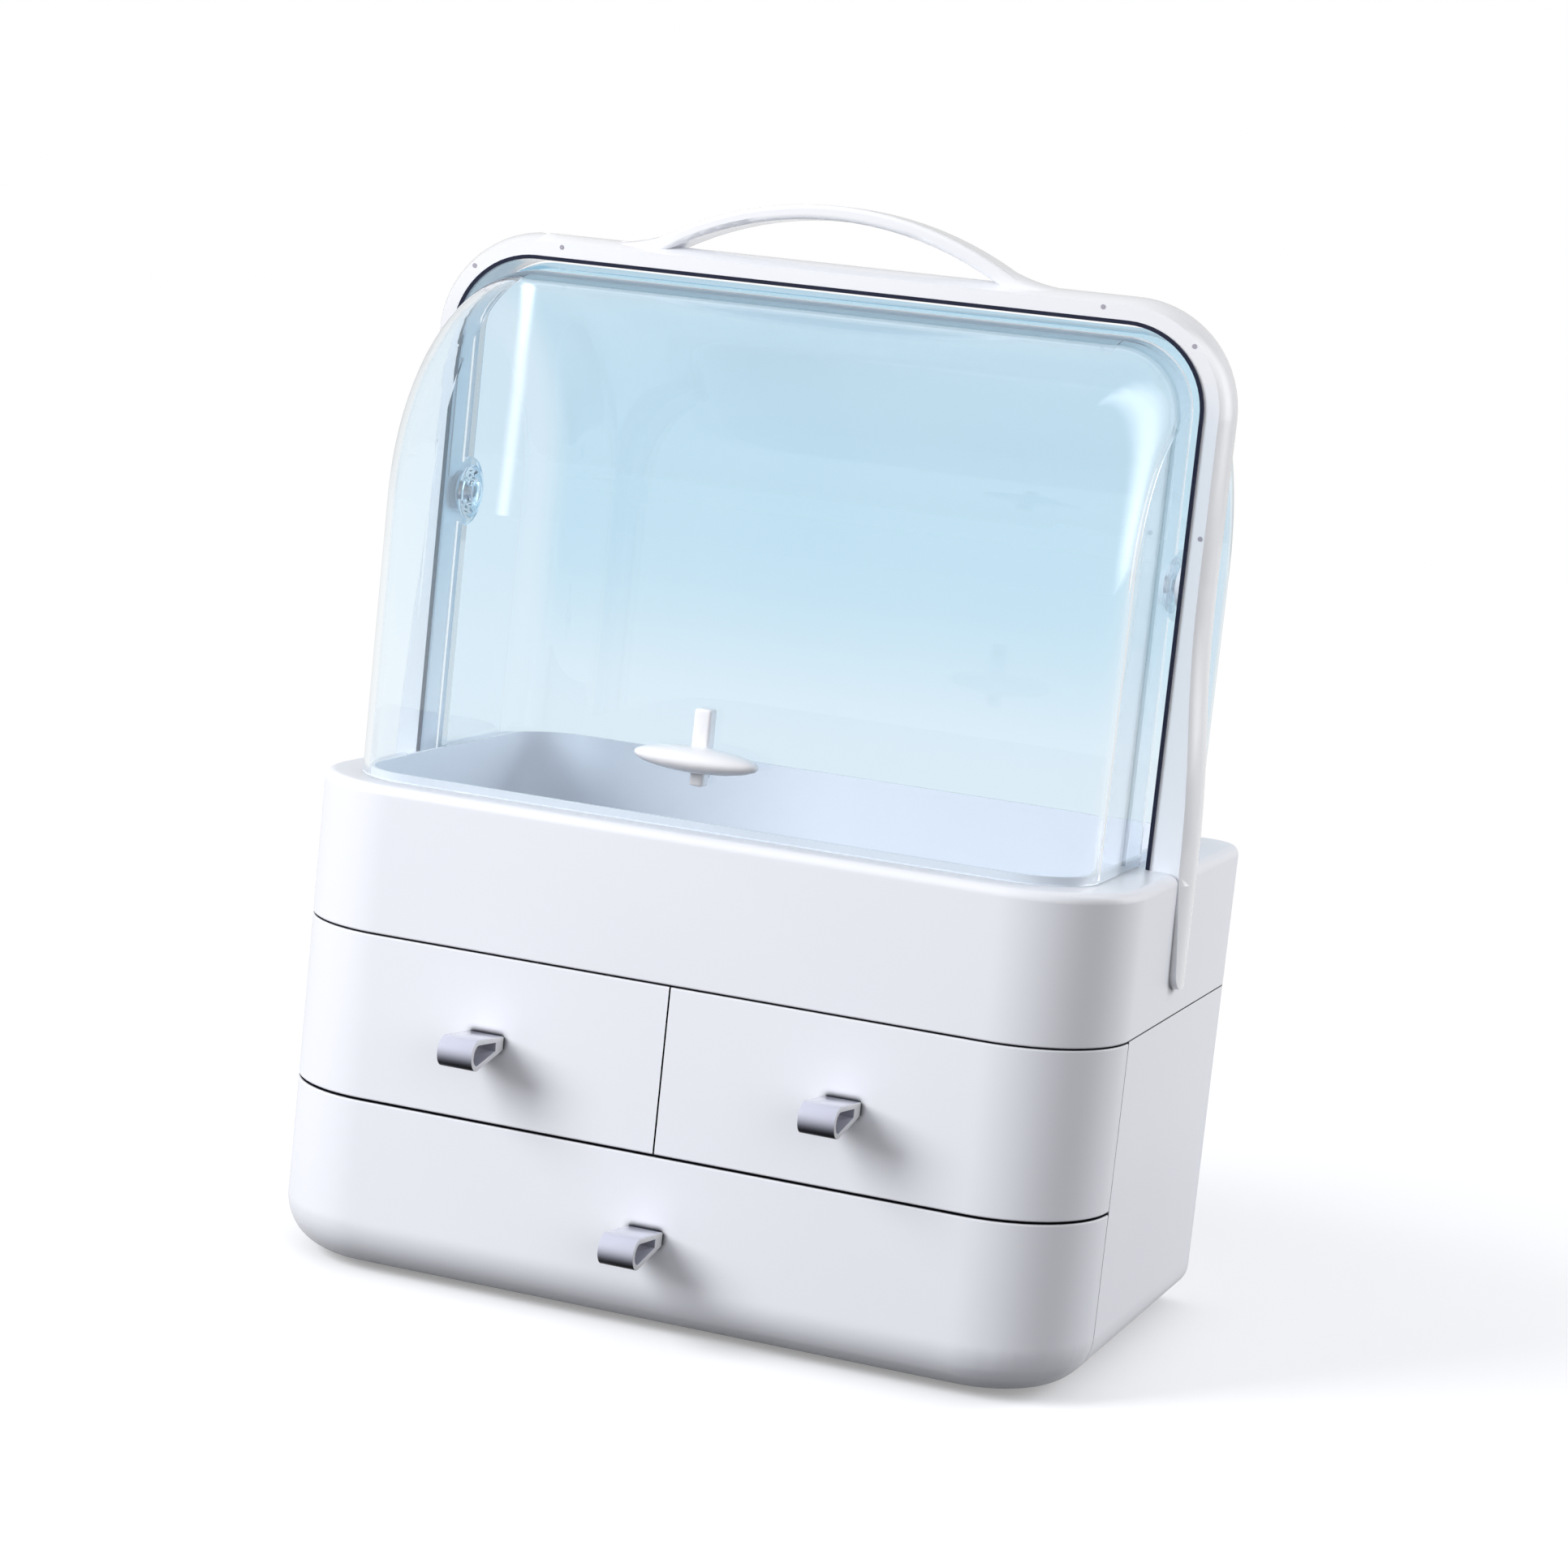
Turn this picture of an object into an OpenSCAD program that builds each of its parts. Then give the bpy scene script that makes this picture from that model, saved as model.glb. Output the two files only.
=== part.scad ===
// Dustproof makeup organizer: a two-level drawer case with an open tray on top,
// a strap arch with a carrying handle, a fixed rear cover and a front cover that
// swings up like a visor. X is the width, Y runs from front to back and Z is up.

/* [Case] */
// Width of the case over its side walls
case_w = 290; // [260:5:340]
// Depth of the case, front face to back wall
case_d = 174; // [160:2:210]
// Height of the lower drawer front
lower_h = 59.5; // [52:0.5:75]
// Height of the two upper drawer fronts
upper_h = 57; // [46:1:75]
// Height of the top tray, seam to rim
tray_h = 50; // [44:1:70]
// Radius of the two front vertical corners
front_r = 38; // [34:1:42]
// Radius of the two rear vertical corners
rear_r = 12; // [10:1:14]
// Radius of the round-over along the bottom edge
base_r = 18; // [14:1:20]
// Thickness of the case and tray walls
wall = 2.5; // [2.2:0.1:2.8]
// Height of the rubber feet below the case
foot_h = 2; // [1.5:0.5:4]

/* [Covers] */
// Height of the cover pivots above the tray rim
pivot_rise = 93.9; // [87:0.3:108]
// Thickness of the clear covers
cover_t = 2; // [1.6:0.1:2.2]
// Radius of the rounded edge between cover roof and cover side
cover_round = 24; // [22:1:28]
// Width of the rim beside the front cover
rim_side = 14.8; // [13.8:0.2:15.2]
// Width of the rim in front of the front cover
rim_front = 9; // [8:0.5:11]

/* [Arch and handle] */
// Front to back depth of the arch strap
strap_d = 22; // [20:1:24]
// Thickness of the arch strap at its edges
strap_t = 6.3; // [6:0.1:6.6]
// Extra thickness of the arch strap along its middle
strap_crown = 3; // [2:0.1:3.4]
// Height of the handle's top above the arch
handle_rise = 22.5; // [20:0.5:24]
// Thickness of the handle
handle_t = 5; // [4:0.1:5.2]
// Depth of the handle, front to back
handle_d = 16; // [12:1:17]

/* [Pulls] */
// Distance the drawer pulls stand out from the fronts
pull_reach = 25; // [20:1:30]
// Width of a drawer pull
pull_w = 12.5; // [10:0.5:18]
// Distance of the two upper pulls from the middle
pull_x = 63; // [50:1:75]
// Height of the upper pulls below the top edge of their fronts
pull_drop = 29; // [22:0.5:32]
// Height of the lower pull below the top edge of its front
lower_pull_drop = 27; // [22:0.5:32]

/* [Clearances] */
// Width of the seams between the fronts and the case
seam = 0.6; // [0.4:0.1:0.9]
// Side play of a drawer in its bay
slide_gap = 0.6; // [0.4:0.1:0.9]
// Gap between the two covers where they pass each other
cover_gap = 1; // [0.8:0.1:1.2]
// Diameter of the two cover pivot pins
pin_d = 4; // [3:0.1:4.5]
// Play of a pivot pin in the front cover, on the radius
pin_play = 0.05; // [0.02:0.01:0.1]

/* [Hidden] */
$fn = 96;

// Case planes
hw = case_w / 2;
fy = -(case_d - pull_reach) / 2;
by = fy + case_d;
side_y = fy + front_r;
z0 = foot_h;
z1 = z0 + lower_h;
z2 = z1 + upper_h;
z3 = z2 + tray_h;
edge_r = 0.8;
rim_r = 3.5;

// Shelf, divider and drawer bays
panel_t = 2.5;
groove = 1;
runner_h = 0.8;
lift = 0.2;
bay_x = hw - wall - slide_gap;
drawer_y = by - wall - 11;
drawer_t = 2.2;
tongue_x = hw - front_r - 7;
tongue_y = fy + base_r + 4;

// Pivot line of the front cover and the arch plane
ay = fy + case_d / 2 + 2;
pz = z3 + pivot_rise;
cover_x = hw - rim_side;
cover_r = ay - fy - rim_front;
rear_x = cover_x + cover_gap + cover_t;
rear_cover_r = cover_r + cover_gap + cover_t;
rear_round = cover_round + cover_gap + cover_t;
cover_edge_y = ay - strap_d / 2 + 5;
ear_r = 12;

// Arch strap around the covers
arch_gap = 0.5;
arch_x = rear_x + arch_gap;
arch_z = pz + rear_cover_r + arch_gap;
arch_r = rear_round + arch_gap;
flare = hw - strap_t - arch_x;
flare_z0 = z3 - 4;
flare_z1 = flare_z0 + 20 * flare;
flare_a = 2 * atan(1 / 20);
flare_r = 100.25 * flare;
liner_t = (flare + strap_t) / 2;
rear_edge_y = ay + strap_d / 2 - 3;
tip_z = z3 - 40;
tip_r = 6.5;

// Handle arcs, from the arch up to the grip
handle_sink = 1.1;
handle_half = 3.9 * handle_rise;
handle_a = 2 * atan(1 / 3.9);
grip_r = 5.4 * handle_rise;
sweep_r = 2.705 * handle_rise;

// Tray well inside the covers
lip_x = cover_x - cover_t - 0.4;
lip_t = 1.5;
lip_y0 = ay - cover_r + cover_t + 0.4;
lip_y1 = ay + cover_r - 2.5;
well_r = cover_round - cover_t - 2;
boss_x = hw - wall - 5.5;
boss_y = by - wall - 5.5;

// Grip on the front cover and the two screws behind it
grip_z = z3 + 24.5;
grip_screws = [grip_z - 5.5, grip_z + 13];

// Rectangle with its own radius at each corner, from the lower left one round
module soft_rect(x0, y0, x1, y1, r0, r1, r2, r3) {
    difference() {
        translate([x0, y0]) square([x1 - x0, y1 - y0]);
        if (r0 > 0) translate([x0 + r0, y0 + r0]) rotate(180) spandrel(r0);
        if (r1 > 0) translate([x1 - r1, y0 + r1]) rotate(270) spandrel(r1);
        if (r2 > 0) translate([x1 - r2, y1 - r2]) spandrel(r2);
        if (r3 > 0) translate([x0 + r3, y1 - r3]) rotate(90) spandrel(r3);
    }
}

// Corner left over between a square and its quarter circle
module spandrel(r) {
    difference() {
        square(r + 1);
        circle(r);
    }
}

// Vertical corner post with a rounded top and bottom edge
module corner_post(x, y, za, zb, r, top, bot) {
    translate([x, y, 0]) rotate_extrude()
        soft_rect(0, za, r, zb, 0, bot, top, 0);
}

// Block with rounded plan corners, a rounded top edge and a rounded bottom edge
module soft_body(half, ya, yb, za, zb, rf, rr, top, bot) {
    for (s = [-1, 1]) {
        corner_post(s * (half - rf), ya + rf, za, zb, rf, top, bot);
        corner_post(s * (half - rr), yb - rr, za, zb, rr, top, bot);
    }
    translate([rf - half, 0, 0]) rotate([90, 0, 90]) linear_extrude(2 * (half - rf))
        soft_rect(ya, za, ya + rf, zb, bot, 0, 0, top);
    translate([rr - half, 0, 0]) rotate([90, 0, 90]) linear_extrude(2 * (half - rr))
        soft_rect(yb - rr, za, yb, zb, 0, bot, top, 0);
    translate([0, yb - rr, 0]) rotate([90, 0, 0]) linear_extrude(yb - rr - ya - rf)
        soft_rect(-half, za, half, zb, bot, bot, top, top);
}

// Upright block with rounded plan corners only
module plan_block(half, ya, yb, za, zb, rf, rr) {
    translate([0, 0, za]) linear_extrude(zb - za)
        soft_rect(-half, ya, half, yb, rf, rf, rr, rr);
}

// Box between two corners
module box(a, b) {
    translate(a) cube(b - a);
}

// Screw along +Z with its pan head below the origin
module screw(d, len, head_d, head_h) {
    cylinder(d = d, h = len, $fn = 32);
    translate([0, 0, -head_h]) cylinder(d1 = head_d * 0.82, d2 = head_d, h = head_h, $fn = 40);
}

// Cabinet: side walls, back and base behind the drawer fronts
module cabinet_block(i, zt) {
    intersection() {
        translate([0, by - i, 0]) rotate([90, 0, 0]) linear_extrude(by - side_y)
            soft_rect(i - hw, z0 + i, hw - i, zt, base_r - i, base_r - i, 0, 0);
        plan_block(hw - i, side_y - 5, by - i, z0, zt, 0, rear_r - i);
    }
}

module cabinet() {
    color("whitesmoke") difference() {
        union() {
            difference() {
                cabinet_block(0, z2);
                cabinet_block(wall, z2 + 1);
                box([wall - hw, side_y - 1, z0 + base_r], [hw - wall, side_y + 10, z2 + 1]);
                plan_block(hw - wall + groove, side_y - 1, by - wall + groove,
                    z1 - panel_t / 2 - 0.1, z1 + panel_t / 2 + 0.1, 0, rear_r - wall + groove);
            }
            box([-tongue_x, tongue_y, z0], [tongue_x, side_y + 1, z0 + wall]);
            for (s = [-1, 1]) {
                box([s * 70 - 2, side_y + 4, z0 + wall - 0.5], [s * 70 + 2, by - wall - 8, z0 + wall + runner_h]);
            }
            tray_ears();
        }
        for (x = [-boss_x, -45, 45, boss_x])
            translate([x, boss_y, z2 - 4]) cylinder(d = 3.4, h = 5, $fn = 32);
        for (x = [-tongue_x + 12, tongue_x - 12], y = [tongue_y + 17, by - 24])
            translate([x, y, z0 - 1]) cylinder(d = 6, h = 2, $fn = 40);
    }
}

// Ears along the back wall that the tray is screwed to
module tray_ears() {
    for (x = [-45, 45])
        box([x - 6, boss_y - 5, z2 - 3], [x + 6, by - wall + 0.5, z2]);
    for (s = [-1, 1]) intersection() {
        box([s * boss_x - 6, boss_y - 5, z2 - 3], [s * boss_x + 6, by - wall + 0.5, z2]);
        plan_block(hw - 1, side_y, by - 1, z2 - 3, z2, 0, rear_r - 1);
    }
}

// Shelf between the lower and the upper drawers, slid into the wall grooves
module mid_shelf() {
    color("whitesmoke") {
        plan_block(hw - wall + groove - 0.1, side_y + 0.2, by - wall + groove - 0.1,
            z1 - panel_t / 2, z1 + panel_t / 2, 0, rear_r - wall + groove - 0.1);
        for (x = [-105, -40, 40, 105])
            box([x - 2, side_y + 4, z1], [x + 2, by - wall - 8, z1 + panel_t / 2 + runner_h]);
    }
}

// Upright wall between the two upper drawers
module centre_divider() {
    color("whitesmoke")
        box([-panel_t / 2, side_y + 0.2, z1 + panel_t / 2], [panel_t / 2, by - wall, z2]);
}

// Tray on top: hollow rim, inner well, dust lip and the two leg sockets
module top_tray() {
    color("white") difference() {
        union() {
            difference() {
                soft_body(hw, fy, by, z2, z3, front_r, rear_r, rim_r, edge_r);
                difference() {
                    plan_block(hw - wall, fy + wall, by - wall, z2 - 1, z3 - 3,
                        front_r - wall, rear_r - wall);
                    plan_block(lip_x, lip_y0, lip_y1, z2 - 2, z3, well_r + wall, well_r + wall);
                }
            }
            for (s = [-1, 1])
                box([s * (hw - wall - 6) - 7.5, ay - 16, z2], [s * (hw - wall - 6) + 7.5, ay + 16, z3 - 2]);
            for (x = [-boss_x, -45, 45, boss_x])
                translate([x, boss_y, z2]) cylinder(d = 8, h = 14, $fn = 40);
            plan_block(lip_x, lip_y0, lip_y1, z3 - 4, z3 + 3, well_r + wall, well_r + wall);
        }
        soft_body(lip_x - lip_t, lip_y0 + lip_t, lip_y1 - lip_t, z2 + wall, z3 + 4,
            well_r, well_r, 0, 4);
        for (s = [0, 1]) mirror([s, 0, 0]) {
            leg(0.15);
            leg_holes(3.2);
            translate([0, ay, 0]) for (z = [z3 - 14, z3 - 29])
                translate([lip_x - lip_t - 1, 0, z]) rotate([0, 90, 0])
                    cylinder(d = 6.4, h = 3.2, $fn = 40);
        }
        for (x = [-boss_x, -45, 45, boss_x])
            translate([x, boss_y, z2 - 1]) cylinder(d = 2.8, h = 12, $fn = 32);
        cover_tabs(0.2);
    }
}

// Four screws that hold the tray down along the back
module tray_screws() {
    color("silver") for (x = [-boss_x, -45, 45, boss_x])
        translate([x, boss_y, z2 - 3]) screw(2.8, 13, 5.6, 1.8);
}

// Four feet with a peg in the base
module rubber_feet() {
    color("dimgray") for (x = [-tongue_x + 12, tongue_x - 12], y = [tongue_y + 17, by - 24])
        translate([x, y, 0]) {
            cylinder(d1 = 13, d2 = 14, h = z0, $fn = 64);
            translate([0, 0, z0 - 0.1]) cylinder(d = 6, h = 1.1, $fn = 40);
        }
}

// Cross-section of the arch strap: flat inside, crowned outside
module strap_section(c = 0) {
    r = (pow(strap_d / 2, 2) + pow(strap_crown, 2)) / (2 * strap_crown);
    intersection() {
        translate([-c, -strap_d / 2 - c]) square([strap_t + strap_crown + 2 * c, strap_d + 2 * c]);
        translate([strap_t + strap_crown - r, 0]) circle(r + c, $fn = 160);
    }
}

// One swept arc of a section about an axis along Y: a point, the centre from that point, the angles
module arc(x, z, centre, start, turn) {
    translate([x, ay, z]) rotate([90, 0, 0]) translate(centre) rotate([0, 0, start])
        rotate_extrude(angle = turn, $fn = 192) children();
}

// Space beyond a plane through a point of a swept path, where two arcs meet
module beyond(x, z, turn) {
    translate([x, ay, z]) rotate([0, -turn, 0]) translate([-80, -80, 0]) cube(160);
}

// Right leg of the strap, from the tapered tip on the tray up to the corner
module leg(c = 0) {
    intersection() {
        union() {
            translate([arch_x, ay, flare_z1]) linear_extrude(pz + rear_cover_r - rear_round - flare_z1)
                strap_section(c);
            intersection() {
                arc(arch_x, flare_z1, [flare_r, 0], 180, flare_a + 3)
                    translate([flare_r, 0]) mirror([1, 0]) strap_section(c);
                beyond(arch_x + flare / 2, flare_z0 + 10 * flare, flare_a);
            }
            difference() {
                arc(arch_x + flare, flare_z0, [-flare_r, 0], 0, flare_a + 3)
                    translate([flare_r, 0]) strap_section(c);
                beyond(arch_x + flare / 2, flare_z0 + 10 * flare, flare_a);
            }
            translate([arch_x + flare, ay, tip_z - 1]) linear_extrude(flare_z0 - tip_z + 1)
                strap_section(c);
        }
        translate([arch_x - 5, ay, 0]) rotate([90, 0, 90]) linear_extrude(20) leg_outline(c);
    }
}

// Side view of the leg: full depth above the rim, tapered to a round tip below it
module leg_outline(c) {
    half = strap_d / 2 + c;
    translate([-half - 1, z3]) square([2 * half + 2, arch_z - z3]);
    polygon([[-half, z3 + 0.1], [-tip_r - c, tip_z + tip_r], [tip_r + c, tip_z + tip_r], [half, z3 + 0.1]]);
    translate([0, tip_z + tip_r]) circle(tip_r + c, $fn = 64);
}

// Straight inner side of the leg down to the rim, and the raised plate above the pivot
module leg_inside() {
    box([arch_x + 0.2, ay - strap_d / 2, z3], [arch_x + liner_t, ay + strap_d / 2, flare_z1]);
    box([arch_x - 0.4, ay - strap_d / 2 + 2, pz + 5], [arch_x + 1, rear_edge_y - 0.5, pz + 47]);
}

module leg_holes(d) {
    for (z = [z3 - 14, z3 - 29])
        translate([lip_x - lip_t - 1, ay, z]) rotate([0, 90, 0])
            cylinder(d = d, h = hw - lip_x + lip_t - 0.2, $fn = 32);
}

// Handle: a raised grip arc with a reversed arc at each end
module handle() {
    zs = arch_z + handle_sink;
    zp = zs + handle_rise;
    difference() {
        arc(0, zp, [0, -grip_r], 0, 180) translate([grip_r, 0]) handle_section();
        for (s = [0, 1]) mirror([s, 0, 0]) handle_joint(zp);
    }
    for (s = [0, 1]) mirror([s, 0, 0]) intersection() {
        arc(handle_half, zs, [0, sweep_r], 180, 90)
            translate([sweep_r, 0]) mirror([1, 0]) handle_section();
        handle_joint(zp);
    }
}

module handle_joint(zp) {
    beyond(grip_r * sin(handle_a), zp - grip_r * (1 - cos(handle_a)), -90 - handle_a);
}

module handle_section() {
    soft_rect(0, -handle_d / 2, handle_t, handle_d / 2, 1.6, 1.6, 1.6, 1.6);
}

// Places of the small pins along the front edge of the arch, seen from the front
module at_arch_pins() {
    u = strap_t - 1.4;
    for (s = [-1, 1]) {
        translate([s * 97, 0, arch_z + u]) children();
        translate([s * (arch_x - arch_r + (arch_r + u) * sin(45)), 0,
            arch_z - arch_r + (arch_r + u) * cos(45)]) children();
        translate([s * (arch_x + u), 0, pz + 17]) children();
    }
}

// Arch strap with the handle, the pivot bosses and the rebate for the dust seal
module arch_frame() {
    color("white") difference() {
        union() {
            for (s = [0, 1]) mirror([s, 0, 0]) {
                leg();
                leg_inside();
                arc(arch_x, arch_z, [-arch_r, -arch_r], 0, 90) translate([arch_r, 0]) strap_section();
                translate([cover_x + cover_gap, ay, pz]) rotate([0, 90, 0])
                    cylinder(d = 14, h = arch_x - cover_x - cover_gap + 0.4, $fn = 64);
            }
            translate([arch_x - arch_r, ay, arch_z]) rotate([0, -90, 0])
                linear_extrude(2 * (arch_x - arch_r)) strap_section();
            handle();
        }
        seal_ring(0.05);
        for (s = [0, 1]) mirror([s, 0, 0]) {
            leg_holes(3);
            translate([cover_x, ay, pz]) rotate([0, 90, 0])
                cylinder(d = pin_d, h = arch_x + 4.2 - cover_x, $fn = 48);
        }
        translate([0, ay - strap_d / 2, 0]) at_arch_pins()
            rotate([-90, 0, 0]) translate([0, 0, -1]) cylinder(d = 1.6, h = 6, $fn = 24);
    }
}

// Two screws through the tray wall into each leg
module leg_screws() {
    color("silver") for (s = [0, 1], z = [z3 - 14, z3 - 29])
        mirror([s, 0, 0]) translate([lip_x - lip_t + 2.2, ay, z]) rotate([0, 90, 0])
            screw(3, hw - lip_x + lip_t - 4.6, 5.8, 1.8);
}

// Small pins along the front edge of the arch
module arch_pins() {
    color("rosybrown") translate([0, ay - strap_d / 2, 0]) at_arch_pins()
        rotate([-90, 0, 0]) translate([0, 0, -0.15]) cylinder(d = 1.6, h = 5, $fn = 24);
}

// Outline between two rounded arches, open at the rim
module arch_band(inner, outer) {
    difference() {
        soft_rect(-arch_x - outer, z3, arch_x + outer, arch_z + outer, 0, 0, arch_r + outer, arch_r + outer);
        soft_rect(-arch_x - inner, z3 - 1, arch_x + inner, arch_z + inner, 0, 0, arch_r + inner, arch_r + inner);
    }
}

module seal_ring(c = 0) {
    translate([0, ay - strap_d / 2 + 1.2 + c, 0]) rotate([90, 0, 0]) linear_extrude(2 + c)
        arch_band(-c, 1.3 + c);
}

// Dark rubber seal along the inner front edge of the arch
module dust_seal() {
    color([0.07, 0.1, 0.2]) intersection() {
        seal_ring();
        box([-hw, fy, z3 + 0.2], [hw, by, arch_z + 10]);
    }
}

// Closed form of a cover: a body of revolution about the pivot line on a straight skirt
module cover_form(half, r, round, zb) {
    translate([0, ay, pz]) rotate([0, 90, 0]) rotate([0, 0, 90])
        rotate_extrude(angle = 180, $fn = 192) soft_rect(0, -half, r, half, 0, round, round, 0);
    translate([0, ay, zb]) linear_extrude(pz - zb)
        soft_rect(-half, -r, half, r, round, round, round, round);
}

module cover_shell(half, r, round, zb) {
    difference() {
        cover_form(half, r, round, zb);
        cover_form(half - cover_t, r - cover_t, round - cover_t, zb - 1);
    }
}

// Snap tabs below the rear cover, and their slots in the rim
module cover_tabs(c = 0) {
    for (s = [-1, 1])
        box([s * (rear_x - cover_t / 2) - cover_t / 2 + 0.2 - c, ay + 26 - c, z3 - 5 - c],
            [s * (rear_x - cover_t / 2) + cover_t / 2 - 0.2 + c, ay + 38 + c, z3 + 1]);
    for (x = [-60, 60])
        box([x - 8 - c, ay + rear_cover_r - cover_t + 0.2 - c, z3 - 2.2 - c],
            [x + 8 + c, ay + rear_cover_r - 0.2 + c, z3 + 1]);
}

// Fixed rear cover, its front edge just inside the arch
module rear_cover() {
    color([0.6, 0.82, 0.9, 0.5]) union() {
        intersection() {
            cover_shell(rear_x, rear_cover_r, rear_round, z3 + 0.2);
            box([-hw, rear_edge_y, z3], [hw, by, arch_z + 5]);
        }
        cover_tabs();
    }
}

// Pivot pins, pressed into the arch legs
module pivot_pins() {
    color("silver") for (s = [0, 1]) mirror([s, 0, 0])
        translate([cover_x - cover_t - 2, ay, pz]) rotate([0, 90, 0])
            cylinder(d = pin_d, h = arch_x + 4 - cover_x + cover_t + 2, $fn = 48);
}

// Thin washers between the front cover and the arch
module pivot_washers() {
    color("white") for (s = [0, 1]) mirror([s, 0, 0])
        translate([cover_x + 0.3, ay, pz]) rotate([0, 90, 0]) difference() {
            cylinder(d = 10, h = cover_gap - 0.3, $fn = 48);
            translate([0, 0, -1]) cylinder(d = pin_d, h = 4, $fn = 48);
        }
}

// Round caps on the inner ends of the pins
module pivot_caps() {
    color("white") for (s = [0, 1]) mirror([s, 0, 0])
        translate([cover_x - cover_t - 0.4, ay, pz]) rotate([0, -90, 0]) difference() {
            union() {
                cylinder(d = 19, h = 1.2, $fn = 64);
                cylinder(d1 = 16, d2 = 12, h = 2.2, $fn = 64);
                cylinder(d = 8, h = 3, $fn = 48);
            }
            translate([0, 0, -1]) cylinder(d = pin_d, h = 2.6, $fn = 48);
        }
}

// Clear front cover, swinging on its two ears
module front_cover() {
    color([0.85, 0.93, 0.97, 0.35]) difference() {
        union() {
            intersection() {
                cover_shell(cover_x, cover_r, cover_round, z3 + 0.4);
                box([-hw, fy - 5, z3], [hw, cover_edge_y, arch_z]);
            }
            for (s = [0, 1]) mirror([s, 0, 0])
                translate([cover_x - cover_t, ay, pz]) rotate([0, 90, 0])
                    cylinder(r = ear_r, h = cover_t, $fn = 96);
        }
        for (s = [-1, 1])
            translate([s * cover_x, ay, pz]) rotate([0, 90, 0])
                cylinder(r = pin_d / 2 + pin_play, h = 12, center = true, $fn = 48);
        for (z = grip_screws)
            translate([0, ay - cover_r + 4, z]) rotate([90, 0, 0])
                cylinder(d = 2.2, h = 8, $fn = 24);
    }
}

// Grip of the front cover: a flat oval on an upright stem
module cover_pull() {
    yc = ay - cover_r - 0.1;
    zc = grip_z;
    color("white") {
        difference() {
            union() {
                stem(yc, zc + 2.5, zc + 16.5, 3);
                stem(yc, zc - 9, zc - 2, 2.4);
                box([-2.4, yc - 5, zc - 6], [2.4, yc, zc + 8]);
            }
            for (z = grip_screws)
                translate([0, yc + 1, z]) rotate([90, 0, 0])
                    cylinder(d = 2, h = 4.5, $fn = 24);
        }
        intersection() {
            translate([0, yc - 6.5, zc - 5]) linear_extrude(10) lens(21.5, 9);
            translate([0, yc + 5, zc]) rotate([90, 0, 0]) linear_extrude(25) lens(22, 4.3);
            box([-30, yc - 20, zc - 5], [30, yc, zc + 5]);
        }
    }
}

// Flat oval between two arcs, as long and as wide as the two half sizes
module lens(a, b) {
    r = (a * a + b * b) / (2 * b);
    intersection() {
        translate([0, b - r]) circle(r, $fn = 160);
        translate([0, r - b]) circle(r, $fn = 160);
        square([2 * a - 1.2, 2 * b], center = true);
    }
}

// Rounded upright bar against the cover
module stem(y, za, zb, r) {
    translate([0, y - 5, 0]) rotate([-90, 0, 0]) linear_extrude(5)
        soft_rect(-r, -zb, r, -za, r - 0.2, r - 0.2, r - 0.2, r - 0.2);
}

// Two screws from inside the front cover into the grip's stem
module cover_pull_screws() {
    color("silver") for (z = grip_screws)
        translate([0, ay - cover_r + cover_t + 0.05, z]) rotate([90, 0, 0])
            screw(2, cover_t + 3.2, 4.2, 1.2);
}

// Front part of a drawer, wrapped round the case's front corners
module drawer_front(x0, x1, za, zb, i, bot, top, yb) {
    intersection() {
        union() {
            for (s = [-1, 1])
                corner_post(s * (hw - front_r), side_y, za, zb, front_r - i, top, bot);
            translate([front_r - hw, 0, 0]) rotate([90, 0, 90]) linear_extrude(2 * (hw - front_r))
                soft_rect(fy + i, za, side_y, zb, bot, 0, 0, top);
        }
        box([x0, fy - 1, za - 1], [x1, yb, zb + 1]);
    }
}

// Box part of a drawer, inside its bay
module drawer_box(x0, x1, za, zb, ya, yb, bot0, bot1) {
    intersection() {
        translate([0, yb, 0]) rotate([90, 0, 0]) linear_extrude(yb - ya)
            soft_rect(x0, za, x1, zb, bot0, bot1, 0, 0);
        box([x0, ya, za], [x1, yb, zb]);
    }
}

// A drawer: wrapped front and box in one piece, open at the top
module drawer(x0, x1, za, zb, bx0, bx1, ba, bb, bot, r0, r1) {
    yb = side_y - seam;
    difference() {
        union() {
            drawer_front(x0, x1, za, zb, 0, bot, edge_r, yb);
            drawer_box(bx0, bx1, ba, bb, yb - 1, drawer_y, r0, r1);
        }
        drawer_front(x0 + (x0 > -hw ? wall : 0), x1 - (x1 < hw ? wall : 0),
            ba + drawer_t, zb + 5, wall, max(bot - wall, 3), 0, yb - wall);
        drawer_box(bx0 + drawer_t, bx1 - drawer_t, ba + drawer_t, bb + 5,
            yb - wall - 1, drawer_y - drawer_t, max(r0 - drawer_t, 3), max(r1 - drawer_t, 3));
    }
}

module upper_drawer() {
    difference() {
        drawer(-hw, -seam / 2, z1 + seam / 2, z2 - seam / 2,
            -bay_x, -panel_t / 2 - slide_gap, z1 + panel_t / 2 + runner_h + lift, z2 - 1,
            edge_r, 3, 3);
        translate([-pull_x, fy, z2 - pull_drop]) pull_hole();
    }
}

module upper_left_drawer() {
    color("ghostwhite") upper_drawer();
}

module upper_right_drawer() {
    color("ghostwhite") mirror([1, 0, 0]) upper_drawer();
}

module lower_drawer() {
    color("ghostwhite") difference() {
        drawer(-hw, hw, z0, z1 - seam / 2, -bay_x, bay_x,
            z0 + wall + runner_h + lift, z1 - panel_t / 2 - 1,
            base_r, base_r - wall - 0.5, base_r - wall - 0.5);
        box([-tongue_x - seam, tongue_y - seam, z0 - 1],
            [tongue_x + seam, side_y + 5, z0 + wall + runner_h + lift]);
        translate([0, fy, z1 - lower_pull_drop]) pull_hole();
    }
}

module pull_hole() {
    translate([0, wall + 3, 0]) rotate([90, 0, 0]) cylinder(d = 2.4, h = wall + 4, $fn = 24);
}

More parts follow.
